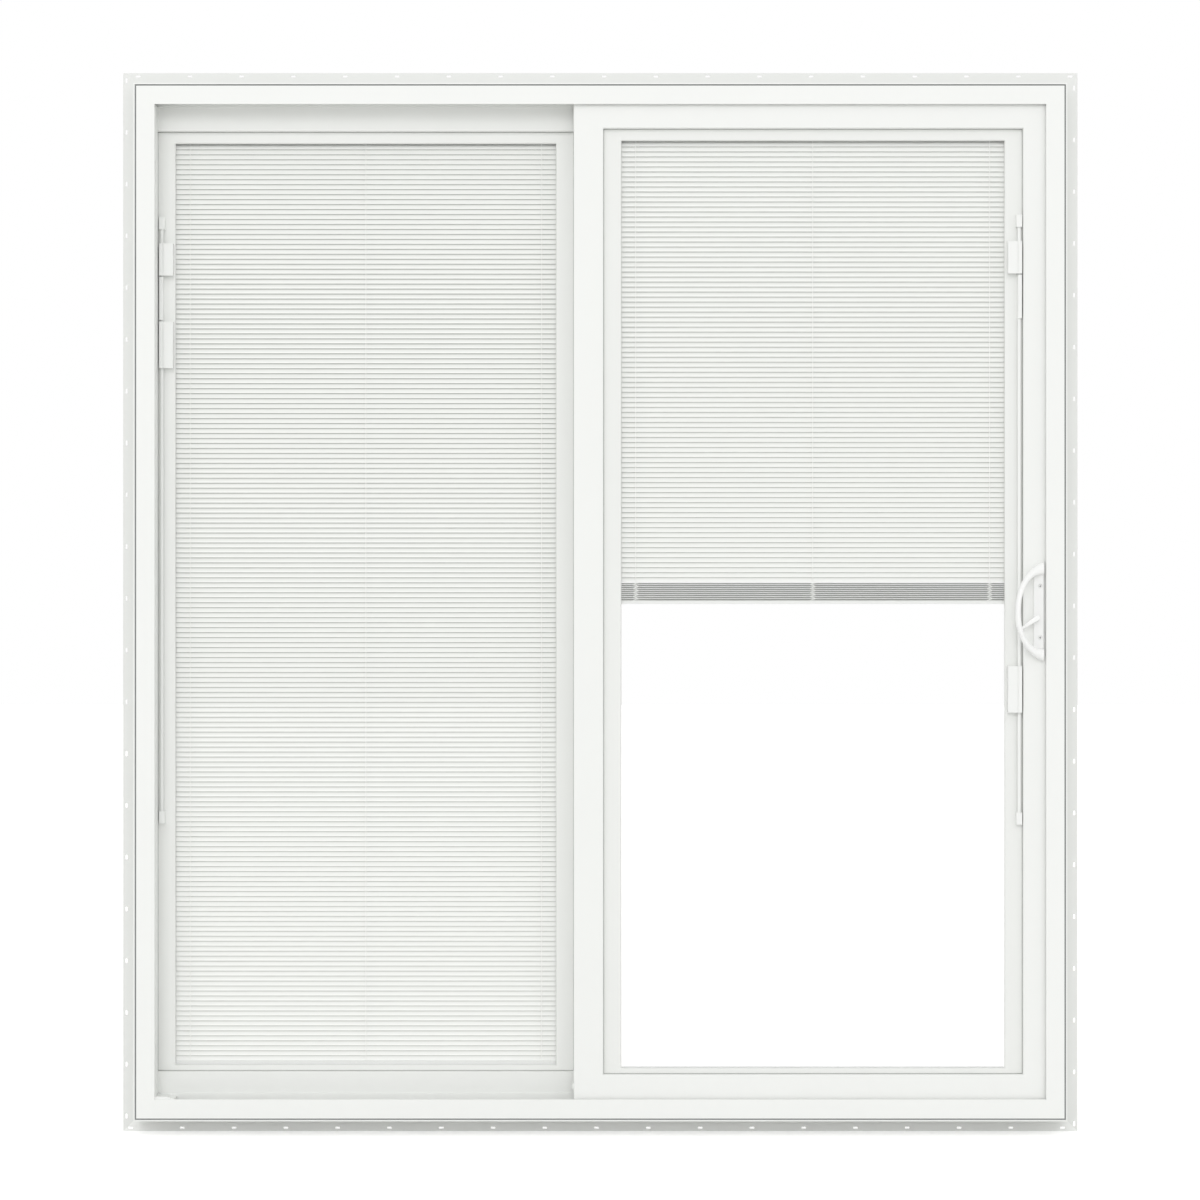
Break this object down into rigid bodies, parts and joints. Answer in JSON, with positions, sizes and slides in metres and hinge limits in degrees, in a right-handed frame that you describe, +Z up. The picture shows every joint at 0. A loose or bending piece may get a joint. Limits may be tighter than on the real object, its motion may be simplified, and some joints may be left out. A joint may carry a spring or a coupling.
{
  "type": "glass sliding patio door",
  "caption": "White vinyl sliding patio door: fixed glazed panel and sliding panel with blinds between the panes, bow handle and nail fin frame.",
  "frame": {"origin": "on the room-side bearing face of the bottom nail fin, at the middle of its length and height", "axes": "+X to the right seen from the room, +Y towards the outside, +Z up"},
  "size_m": [1.8724, 0.1537, 2.0757],
  "materials": {
    "frame_vinyl": "satin",
    "panel_vinyl": "satin",
    "glass": "polished",
    "spacer": "matt",
    "blind": "satin",
    "operator": "semi-gloss",
    "handle": "semi-gloss",
    "steel": "brushed",
    "roller": "satin"
  },
  "bodies": {
    "frame": {"frame_head": "frame_vinyl", "frame_sill": "frame_vinyl", "frame_jamb_left": "frame_vinyl", "frame_jamb_right": "frame_vinyl", "fin_top": "frame_vinyl", "fin_bottom": "frame_vinyl", "fin_left": "frame_vinyl", "fin_right": "frame_vinyl", "jamb_cover": "frame_vinyl", "bumper_block": "frame_vinyl", "keeper": "steel", "fixed_rail_top": "panel_vinyl", "fixed_rail_bottom": "panel_vinyl", "fixed_stile_jamb": "panel_vinyl", "fixed_stile_meeting": "panel_vinyl", "fixed_glazing_bead": "panel_vinyl", "fixed_glass_panes": "glass", "fixed_glass_spacer": "spacer", "fixed_blind_headrail": "blind", "fixed_blind_slats": "blind", "fixed_blind_ladders": "blind", "fixed_blind_bottom_rail": "blind", "fixed_operator_rail": "operator"},
    "sliding_panel": {"sliding_rail_top": "panel_vinyl", "sliding_rail_bottom": "panel_vinyl", "sliding_stile_meeting": "panel_vinyl", "sliding_stile_lock": "panel_vinyl", "sliding_glazing_bead": "panel_vinyl", "sliding_glass_panes": "glass", "sliding_glass_spacer": "spacer", "sliding_blind_headrail": "blind", "sliding_blind_slats": "blind", "sliding_blind_ladders": "blind", "sliding_blind_bottom_rail": "blind", "sliding_operator_rail": "operator", "rollers": "roller", "handle_plate": "handle", "handle_bow": "handle", "outside_pull": "handle", "lock_faceplate": "steel"},
    "thumb_lever": {"thumb_lever": "handle"},
    "fixed_tilt_slider": {"fixed_tilt_slider": "operator"},
    "fixed_lift_slider": {"fixed_lift_slider": "operator"},
    "sliding_tilt_slider": {"sliding_tilt_slider": "operator"},
    "sliding_lift_slider": {"sliding_lift_slider": "operator"}
  },
  "joints": [
    {"name": "panel_slide", "type": "slide", "parent": "frame", "child": "sliding_panel", "axis": [-1, 0, 0], "range_m": [0, 0.772]},
    {"name": "latch_turn", "type": "hinge", "parent": "sliding_panel", "child": "thumb_lever", "pos_m": [0.8485, -0.07, 0.9928], "axis": [0, 1, 0], "range_deg": [0, 78]},
    {"name": "fixed_tilt", "type": "slide", "parent": "frame", "child": "fixed_tilt_slider", "axis": [0, 0, 1], "range_m": [0, 0.023]},
    {"name": "fixed_lift", "type": "slide", "parent": "frame", "child": "fixed_lift_slider", "axis": [0, 0, -1], "range_m": [0, 0.862]},
    {"name": "sliding_tilt", "type": "slide", "parent": "sliding_panel", "child": "sliding_tilt_slider", "axis": [0, 0, 1], "range_m": [0, 0.023]},
    {"name": "sliding_lift", "type": "slide", "parent": "sliding_panel", "child": "sliding_lift_slider", "axis": [0, 0, -1], "range_m": [-0.672, 0.189]}
  ]
}
